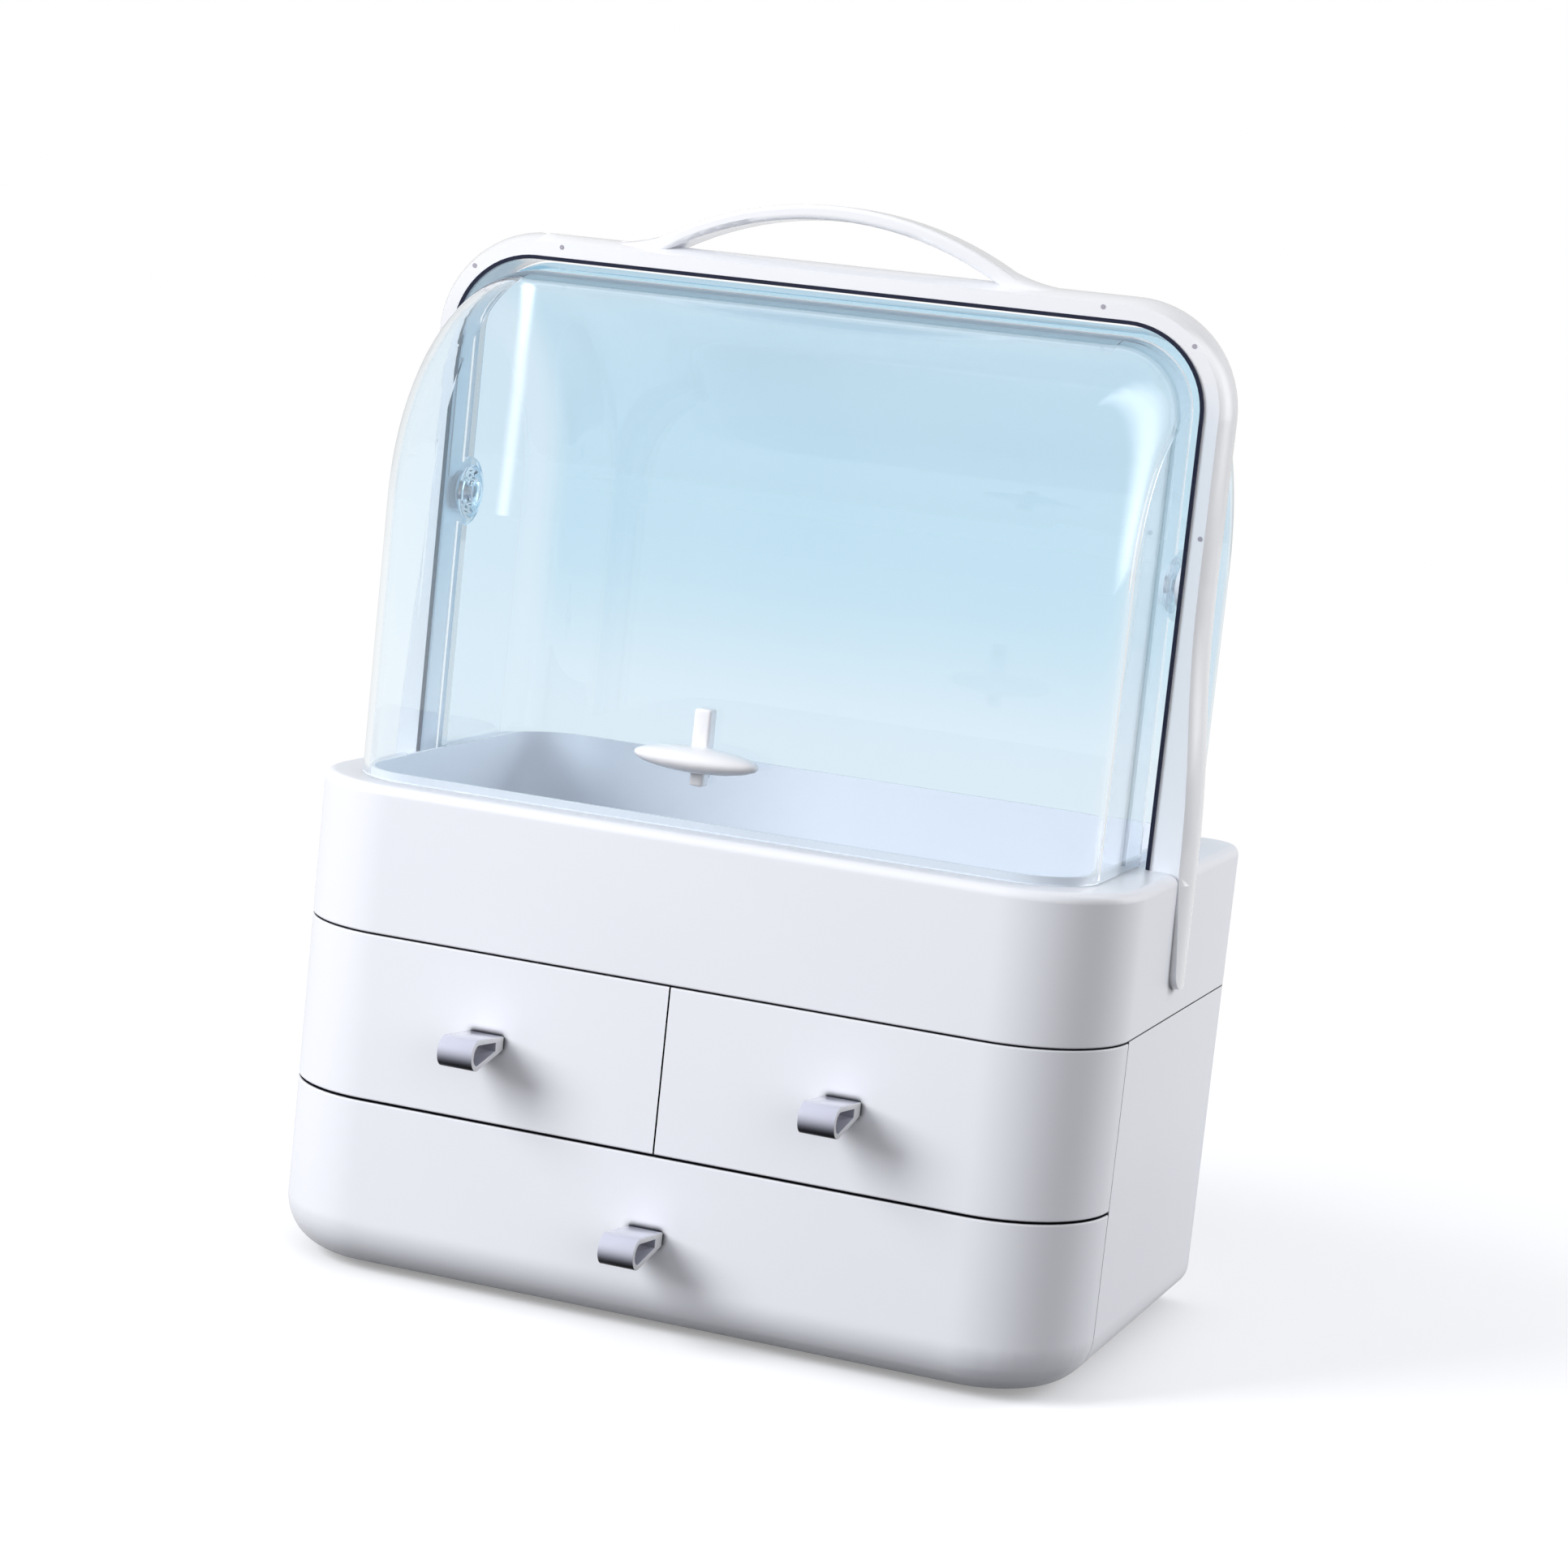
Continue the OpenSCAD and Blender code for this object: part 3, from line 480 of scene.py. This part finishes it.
def makePull(x, z, s):
    nose = Vector((0, s["noseY"], z - s["noseDrop"])) * mm
    foot = Vector((0, s["footY"], z)) * mm
    reach = foot - nose
    rearAngle = math.acos((s["noseRadius"] - s["footRadius"]) * mm / reach.length)
    bpy.ops.object.select_all(action="DESELECT")
    bpy.ops.mesh.primitive_circle_add(
        vertices=s["sides"], radius=s["noseRadius"] * mm, location=nose + Vector(((x - s["width"] / 2) * mm, 0, 0)),
        rotation=(0, math.pi / 2, 0))
    pull = bpy.context.object
    applyPlace()

    def behind(vertex):
        arm = Vector((0, vertex.co.y, vertex.co.z)) - nose
        return arm.angle(reach) < rearAngle

    choose(pull, "VERT", behind)
    shrink = s["footRadius"] / s["noseRadius"]
    bpy.ops.transform.resize(value=(1, shrink, shrink), center_override=nose)
    bpy.ops.transform.translate(value=reach)
    bpy.ops.mesh.select_all(action="SELECT")
    bpy.ops.mesh.extrude_edges_move(TRANSFORM_OT_translate={"value": (s["width"] * mm, 0, 0)})
    leaveEdit()
    applyModifier(pull, "SOLIDIFY", {"thickness": s["sheet"] * mm, "offset": 0.0, "use_even_offset": True})
    choose(pull, "FACE", lambda face: True)
    bpy.ops.mesh.bisect(plane_co=(0, s["frontY"] * mm, 0), plane_no=(0, 1, 0), clear_outer=True, use_fill=True)
    bpy.ops.mesh.normals_make_consistent(inside=False)
    leaveEdit()
    roundEdges(pull, s["edge"], 3, 50)
    low = (x - s["width"] / 2, s["frontY"] - s["footDepth"], z - s["footHeight"] / 2)
    high = (x + s["width"] / 2, s["frontY"], z + s["footHeight"] / 2)
    unite(pull, softBlock(low, high, s["footEdge"]))
    outwardFaces(pull)
    smooth(pull)
    return pull


pullPlaces = {"upper_left": (-63.0, 89.5), "upper_right": (63.0, 89.5), "lower": (0.0, 34.5)}
firstX, firstZ = pullPlaces["upper_left"]
firstPull = makePull(firstX, firstZ, drawerPull)
for side, (x, z) in pullPlaces.items():
    pull = firstPull if side == "upper_left" else copyTo(firstPull, (x - firstX, 0, z - firstZ))
    dress(pull, side + "_pull_rolled", side, "pull", [side + "_pull"])


# Cover grip: a pebble-shaped blade across an upright stem, moulded in one
coverGrip = {
    "blade": (21.5, 9.0, 4.3), "bladeY": -72.1, "z": 193.0, "faceY": -65.6, "depth": 5.0,
    "stemHalf": 3.0, "stemTop": 209.5, "stemLap": 1.0, "footHalf": 2.4, "footLow": 184.0, "edge": 1.1, "spare": 1.7,
    "segments": 96, "rings": 48,
}


def makeGrip(s):
    bpy.ops.object.select_all(action="DESELECT")
    bpy.ops.mesh.primitive_uv_sphere_add(segments=s["segments"], ring_count=s["rings"], radius=1, location=(0, 0, 0))
    grip = bpy.context.object
    bpy.ops.transform.resize(value=[value * mm for value in s["blade"]])
    bpy.ops.transform.translate(value=(0, s["bladeY"] * mm, s["z"] * mm))
    applyPlace()
    # Stem and foot reach past the face, and one cut then trims all three
    front, back = s["faceY"] - s["depth"], s["faceY"] + s["spare"]
    stemLow = s["z"] - s["stemLap"]
    stem = softBlock((-s["stemHalf"], front, stemLow), (s["stemHalf"], back, s["stemTop"]), s["edge"])
    foot = softBlock((-s["footHalf"], front, s["footLow"]), (s["footHalf"], back, s["z"]), s["edge"])
    unite(grip, stem)
    unite(grip, foot)
    choose(grip, "FACE", lambda face: True)
    bpy.ops.mesh.bisect(plane_co=(0, s["faceY"] * mm, 0), plane_no=(0, 1, 0), clear_outer=True, use_fill=True)
    leaveEdit()
    outwardFaces(grip)
    smooth(grip, 40)
    return grip


dress(makeGrip(coverGrip), "cover_pull_moulded", "cover", "gloss", ["cover_pull"])


# Handle roots: the strap's top rises into the handle in a long hollow curve at both ends.
# One oval section, crowned like the strap, is spun about the centre of that curve.
handleRoot = {"x": 84.0, "y": 14.5, "top": 354.9, "curve": 60.0, "turn": 26.4, "steps": 24,
              "half": 7.9, "deep": 2.4, "sides": 48}


def makeRoot(side, s):
    bpy.ops.object.select_all(action="DESELECT")
    bpy.ops.mesh.primitive_circle_add(
        vertices=s["sides"], radius=1, fill_type="NGON", rotation=(0, math.pi / 2, 0),
        location=(side * s["x"] * mm, s["y"] * mm, (s["top"] - s["deep"]) * mm))
    root = bpy.context.object
    bpy.ops.transform.resize(value=(1, s["half"] * mm, s["deep"] * mm))
    applyPlace()
    choose(root, "FACE", lambda face: True)
    bpy.ops.mesh.spin(
        steps=s["steps"], angle=-side * math.radians(s["turn"]), axis=(0, 1, 0),
        center=(side * s["x"] * mm, s["y"] * mm, (s["top"] + s["curve"]) * mm))
    bpy.ops.mesh.select_all(action="SELECT")
    bpy.ops.mesh.normals_make_consistent(inside=False)
    leaveEdit()
    smooth(root, 40)
    return root


dress(joinAll([makeRoot(side, handleRoot) for side in (-1, 1)]), "handle_roots", "case", "arch")


# Screws: zinc plated pan heads with a cross recess, the shank hidden in the plastic
screwSizes = {
    "tray_screws": {"shank": 2.8, "length": 13.0, "head": 5.6, "height": 1.8},
    "leg_screws": {"shank": 3.0, "length": 14.1, "head": 5.8, "height": 1.8},
    "cover_pull_screws": {"shank": 2.0, "length": 5.2, "head": 4.2, "height": 1.2},
    "upper_left_pull_screw": {"shank": 2.0, "length": 5.9, "head": 4.6, "height": 1.4},
    "upper_right_pull_screw": {"shank": 2.0, "length": 5.9, "head": 4.6, "height": 1.4},
    "lower_pull_screw": {"shank": 2.0, "length": 5.9, "head": 4.6, "height": 1.4},
}
# Shares of the head's height or width, and of the shank's width at its tip
screwShape = {"rim": 0.55, "rimSteps": 5, "rimProfile": 0.6, "slotLong": 0.55, "slotWide": 0.14, "slotDeep": 1.1,
              "tip": 0.35}
screwPlaces = {
    "tray_screws": ("case", "Z", [(x, 91.5, 115.5) for x in (-137, -45, 45, 137)]),
    "leg_screws": ("case", "X", [(x, 14.5, z) for x in (-128.5, 128.5) for z in (154.5, 139.5)]),
    "cover_pull_screws": ("cover", "-Y", [(0, -63.45, 187.5), (0, -63.45, 206.0)]),
    "upper_left_pull_screw": ("upper_left", "-Y", [(-63, -71.95, 89.5)]),
    "upper_right_pull_screw": ("upper_right", "-Y", [(63, -71.95, 89.5)]),
    "lower_pull_screw": ("lower", "-Y", [(0, -71.95, 34.5)]),
}


def addCylinder(radius, low, high, sides=48):
    bpy.ops.object.select_all(action="DESELECT")
    bpy.ops.mesh.primitive_cylinder_add(
        vertices=sides, radius=radius * mm, depth=(high - low) * mm, location=(0, 0, (low + high) / 2 * mm))
    applyPlace()
    return bpy.context.object


# Screw along +Z with its head below the origin: disc, rounded rim, cross recess, pointed shank
def makeScrew(s, shape):
    head = addCylinder(s["head"] / 2, -s["height"], 0)
    rim = -s["height"] * mm
    choose(head, "FACE", lambda face: face.normal.z < -0.5)
    bpy.ops.mesh.bevel(
        offset=s["height"] * shape["rim"] * mm, segments=shape["rimSteps"], profile=shape["rimProfile"])
    leaveEdit()
    for turn in (0, math.pi / 2):
        bpy.ops.object.select_all(action="DESELECT")
        bpy.ops.mesh.primitive_cube_add(size=1, location=(0, 0, rim), rotation=(0, 0, turn))
        blade = bpy.context.object
        size = (s["head"] * shape["slotLong"], s["head"] * shape["slotWide"], s["height"] * shape["slotDeep"])
        bpy.ops.transform.resize(value=[value * mm for value in size], orient_type="LOCAL")
        applyPlace()
        cutWith(head, blade)
    shank = addCylinder(s["shank"] / 2, -0.2, s["length"], 32)
    choose(shank, "FACE", lambda face: face.normal.z > 0.5)
    bpy.ops.transform.resize(value=(shape["tip"], shape["tip"], 1), center_override=(0, 0, s["length"] * mm))
    leaveEdit()
    unite(head, shank)
    outwardFaces(head)
    smooth(head, 30)
    return head


turns = {"Z": (0, 0, 0), "X": (0, math.pi / 2, 0), "-X": (0, -math.pi / 2, 0), "-Y": (math.pi / 2, 0, 0)}


def turned(piece, axis, place):
    takeOnly(piece)
    bpy.ops.object.duplicate(linked=False)
    copied = bpy.context.object
    copied.rotation_euler = turns[axis]
    copied.location = [value * mm for value in place]
    applyPlace()
    return copied


for nodeName, (body, axis, places) in screwPlaces.items():
    model = makeScrew(screwSizes[nodeName], screwShape)
    copies = []
    for place in places:
        side = "-X" if axis == "X" and place[0] < 0 else axis
        copies.append(turned(model, side, place))
    bpy.data.objects.remove(model, do_unlink=True)
    dress(joinAll(copies), nodeName + "_crossed", body, "steel", [nodeName])


# Turned parts: a half section drawn as edges in millimetres, spun round Z
def makeTurned(section, steps=72):
    bpy.ops.object.select_all(action="DESELECT")
    bpy.ops.mesh.primitive_plane_add(size=1)
    piece = bpy.context.object
    bpy.ops.object.mode_set(mode="EDIT")
    bpy.ops.mesh.select_mode(type="VERT")
    bpy.ops.mesh.select_all(action="SELECT")
    bpy.ops.mesh.merge(type="CENTER")
    bpy.ops.transform.translate(value=(section[0][0] * mm, 0, section[0][1] * mm))
    for last, point in zip(section, section[1:]):
        bpy.ops.mesh.extrude_vertices_move(TRANSFORM_OT_translate={
            "value": ((point[0] - last[0]) * mm, 0, (point[1] - last[1]) * mm)})
    bpy.ops.mesh.select_all(action="SELECT")
    bpy.ops.mesh.spin(steps=steps, angle=math.tau, center=(0, 0, 0), axis=(0, 0, 1))
    bpy.ops.mesh.select_all(action="SELECT")
    bpy.ops.mesh.remove_doubles(threshold=0.000005)
    bpy.ops.mesh.normals_make_consistent(inside=False)
    leaveEdit()
    return piece


# Pivot cap: a flat rim, a raised collar and a sunk middle with a coin slot
pivotCap = {
    "section": [(0, 1.7), (3.2, 1.7), (3.5, 1.9), (3.6, 3.0), (4.1, 3.0), (4.6, 2.6), (6.0, 2.3), (6.4, 2.3),
                (7.2, 1.9), (7.6, 1.2), (9.0, 1.2), (9.4, 0.9), (9.5, 0.4), (9.5, 0), (0, 0)],
    "edge": 0.15, "slot": (5.4, 1.0, 1.4), "slotZ": 1.7, "x": 127.8, "y": 14.5, "z": 262.4,
}


def makeCap(s):
    cap = makeTurned(s["section"])
    roundEdges(cap, s["edge"], 2, 25)
    bpy.ops.object.select_all(action="DESELECT")
    bpy.ops.mesh.primitive_cube_add(size=1, location=(0, 0, s["slotZ"] * mm))
    slotCutter = bpy.context.object
    bpy.ops.transform.resize(value=[value * mm for value in s["slot"]])
    applyPlace()
    cutWith(cap, slotCutter)
    outwardFaces(cap)
    smooth(cap, 30)
    return cap


capModel = makeCap(pivotCap)
caps = [turned(capModel, axis, (x, pivotCap["y"], pivotCap["z"]))
        for axis, x in (("-X", pivotCap["x"]), ("X", -pivotCap["x"]))]
bpy.data.objects.remove(capModel, do_unlink=True)
dress(joinAll(caps), "pivot_caps_turned", "case", "clear", ["pivot_caps"])


# Rubber feet: a hollow-faced pad with a soft outer edge and the peg above it
rubberFoot = {
    "section": [(0, 0.7), (3.4, 0.7), (4.0, 0.1), (4.6, 0.0), (6.1, 0.0), (6.5, 0.15), (6.7, 0.5), (7.0, 2.0),
                (3.0, 2.0), (3.0, 2.9), (2.8, 3.0), (0, 3.0)],
    "edge": 0.12, "acrossX": (-88, 88), "alongY": (-35.5, 75.5),
}
footModel = makeTurned(rubberFoot["section"])
roundEdges(footModel, rubberFoot["edge"], 2, 40)
smooth(footModel, 35)
feet = [turned(footModel, "Z", (x, y, 0)) for x in rubberFoot["acrossX"] for y in rubberFoot["alongY"]]
bpy.data.objects.remove(footModel, do_unlink=True)
dress(joinAll(feet), "rubber_feet_turned", "case", "foot", ["rubber_feet"])


# Floor: white far off, and it takes the object's shadow near it
floorSettings = {"size": 8.0, "seen": "EDEEF2", "bounce": "46484E", "mirrored": 0.8,
                 "glowNear": 0.28, "near": 0.2, "far": 0.8}


def makeFloor(s):
    bpy.ops.object.select_all(action="DESELECT")
    bpy.ops.mesh.primitive_plane_add(size=s["size"], location=(0, 0, 0))
    floor = bpy.context.object
    floor.name = "floor"
    material, tree, shader = newMaterial("paintedFloor", {"Roughness": 0.9, "Specular IOR Level": 0.1})
    direct = directRays(tree, s["mirrored"])
    place = addNode(tree, "ShaderNodeTexCoord").outputs["Object"]
    distance = addNode(tree, "ShaderNodeVectorMath", {"operation": "LENGTH"}, {0: place}).outputs["Value"]
    lit = addNode(tree, "ShaderNodeMapRange", smoothStep, {
        "Value": distance, "From Min": s["far"], "From Max": s["near"]})
    shown = addNode(tree, "ShaderNodeMix", mixColour, {
        0: lit.outputs["Result"], 6: (0, 0, 0, 1), 7: linearColour(s["seen"])})
    colour = addNode(tree, "ShaderNodeMix", mixColour, {
        0: direct, 6: linearColour(s["bounce"]), 7: shown.outputs[2]})
    tree.links.new(colour.outputs[2], shader.inputs["Base Color"])
    rise = addNode(tree, "ShaderNodeMapRange", smoothStep, {
        "Value": distance, "From Min": s["near"], "From Max": s["far"], "To Min": s["glowNear"]})
    glow = addNode(tree, "ShaderNodeMath", times, {0: direct, 1: rise.outputs["Result"]})
    shader.inputs["Emission Color"].default_value = (1, 1, 1, 1)
    tree.links.new(glow.outputs["Value"], shader.inputs["Emission Strength"])
    floor.data.materials.append(material)


# White studio. Mirrored rays also meet two soft strips: an upright one behind on the right, whose
# azimuth counts from the front towards the right, and a long one overhead on the left, which runs
# from front to back where the ray's X is about -0.4. They draw the rounded corners of the covers.
studio = {
    "ambient": 0.44, "mirrored": 0.7,
    "upright": {"centre": math.radians(125), "half": math.radians(26), "low": -0.2, "high": 0.88, "soft": 0.25,
                "power": 3.0},
    "overhead": {"centre": -0.405, "half": 0.0022, "low": -0.75, "high": 0.95, "soft": 0.5, "power": 4.5},
}


def makeWorld(s):
    world = bpy.data.worlds.new("studio")
    bpy.context.scene.world = world
    world.use_nodes = True
    tree = world.node_tree
    tree.nodes.clear()
    direct = directRays(tree, s["mirrored"])
    way = addNode(tree, "ShaderNodeSeparateXYZ", inputs={
        "Vector": addNode(tree, "ShaderNodeTexCoord").outputs["Generated"]}).outputs

    # Strength of a strip: it falls off to both sides of its middle line and softly at its ends
    def strip(place, shape):
        offset = addNode(tree, "ShaderNodeMath", minus, {0: place, 1: shape["centre"]})
        aside = addNode(tree, "ShaderNodeMath", unsigned, {0: offset.outputs["Value"]})
        across = addNode(tree, "ShaderNodeMapRange", smoothStep, {
            "Value": aside.outputs["Value"], "From Min": shape["half"], "From Max": 0.0, "To Max": shape["power"]})
        foot = addNode(tree, "ShaderNodeMapRange", smoothStep, {
            "Value": way["Z"], "From Min": shape["low"], "From Max": shape["low"] + shape["soft"]})
        head = addNode(tree, "ShaderNodeMapRange", smoothStep, {
            "Value": way["Z"], "From Min": shape["high"] + shape["soft"], "From Max": shape["high"]})
        ends = addNode(tree, "ShaderNodeMath", times, {0: foot.outputs["Result"], 1: head.outputs["Result"]})
        return addNode(tree, "ShaderNodeMath", times, {
            0: across.outputs["Result"], 1: ends.outputs["Value"]}).outputs["Value"]

    forward = addNode(tree, "ShaderNodeMath", times, {0: way["Y"], 1: -1.0})
    azimuth = addNode(tree, "ShaderNodeMath", {"operation": "ARCTAN2"}, {0: way["X"], 1: forward.outputs["Value"]})
    strips = addNode(tree, "ShaderNodeMath", plus, {
        0: strip(azimuth.outputs["Value"], s["upright"]), 1: strip(way["X"], s["overhead"])})
    bounced = addNode(tree, "ShaderNodeMath", above, {
        0: addNode(tree, "ShaderNodeLightPath").outputs["Glossy Depth"], 1: 0.5})
    mirrored = addNode(tree, "ShaderNodeMath", smaller, {0: direct, 1: bounced.outputs["Value"]})
    shine = addNode(tree, "ShaderNodeMath", times, {0: strips.outputs["Value"], 1: mirrored.outputs["Value"]})
    room = addNode(tree, "ShaderNodeMath", larger, {0: direct, 1: s["ambient"]})
    strength = addNode(tree, "ShaderNodeMath", plus, {0: room.outputs["Value"], 1: shine.outputs["Value"]})
    background = addNode(tree, "ShaderNodeBackground", inputs={
        "Color": (1, 1, 1, 1), "Strength": strength.outputs["Value"]})
    addNode(tree, "ShaderNodeOutputWorld", inputs={"Surface": background.outputs["Background"]})


def makeLamp(name, place, aim, size, power):
    bpy.ops.object.light_add(type="AREA", location=place)
    lamp = bpy.context.object
    lamp.name = name
    lamp.data.shape = "RECTANGLE"
    lamp.data.size, lamp.data.size_y = size
    lamp.data.energy = power
    lamp.rotation_euler = (Vector(aim) - Vector(place)).to_track_quat("-Z", "Y").to_euler()
    lamp.visible_glossy = False  # the covers mirror the world's soft strips instead
    lamp.visible_transmission = False


lamps = {
    "keySoftbox": {"place": (-1.15, -1.25, 1.0), "aim": (0, 0, 0.18), "size": (0.9, 1.1), "power": 33},
    "sideSoftbox": {"place": (1.2, 1.3, 0.6), "aim": (0, 0, 0.18), "size": (0.7, 1.1), "power": 19},
    "frontFill": {"place": (1.2, -1.3, 0.6), "aim": (0, 0, 0.18), "size": (0.8, 1.0), "power": 4},
}
makeFloor(floorSettings)
makeWorld(studio)
for lampName, lamp in lamps.items():
    makeLamp(lampName, **lamp)

# The photograph: 19.4 degrees to the right of the front, 8.1 above, turned 6.0 in its plane
cameraSettings = {"yaw": 19.43, "pitch": 8.11, "roll": 6.04, "lens": 89.38, "sensor": 36.0,
                  "aim": (-0.02642, 0.09025, 0.16509), "distance": 1.42344}


def makeCamera(s):
    bpy.ops.object.camera_add()
    camera = bpy.context.object
    camera.name = "photoCamera"
    turn = (Matrix.Rotation(math.radians(s["yaw"]), 3, "Z")
            @ Matrix.Rotation(math.radians(90 - s["pitch"]), 3, "X")
            @ Matrix.Rotation(math.radians(s["roll"]), 3, "Z"))
    camera.rotation_euler = turn.to_euler()
    camera.location = Vector(s["aim"]) + turn @ Vector((0, 0, s["distance"]))
    camera.data.lens = s["lens"]
    camera.data.sensor_width = s["sensor"]
    bpy.context.scene.camera = camera


makeCamera(cameraSettings)
bpy.context.scene.view_settings.view_transform = "Standard"
print("floor, lamps and camera ready")
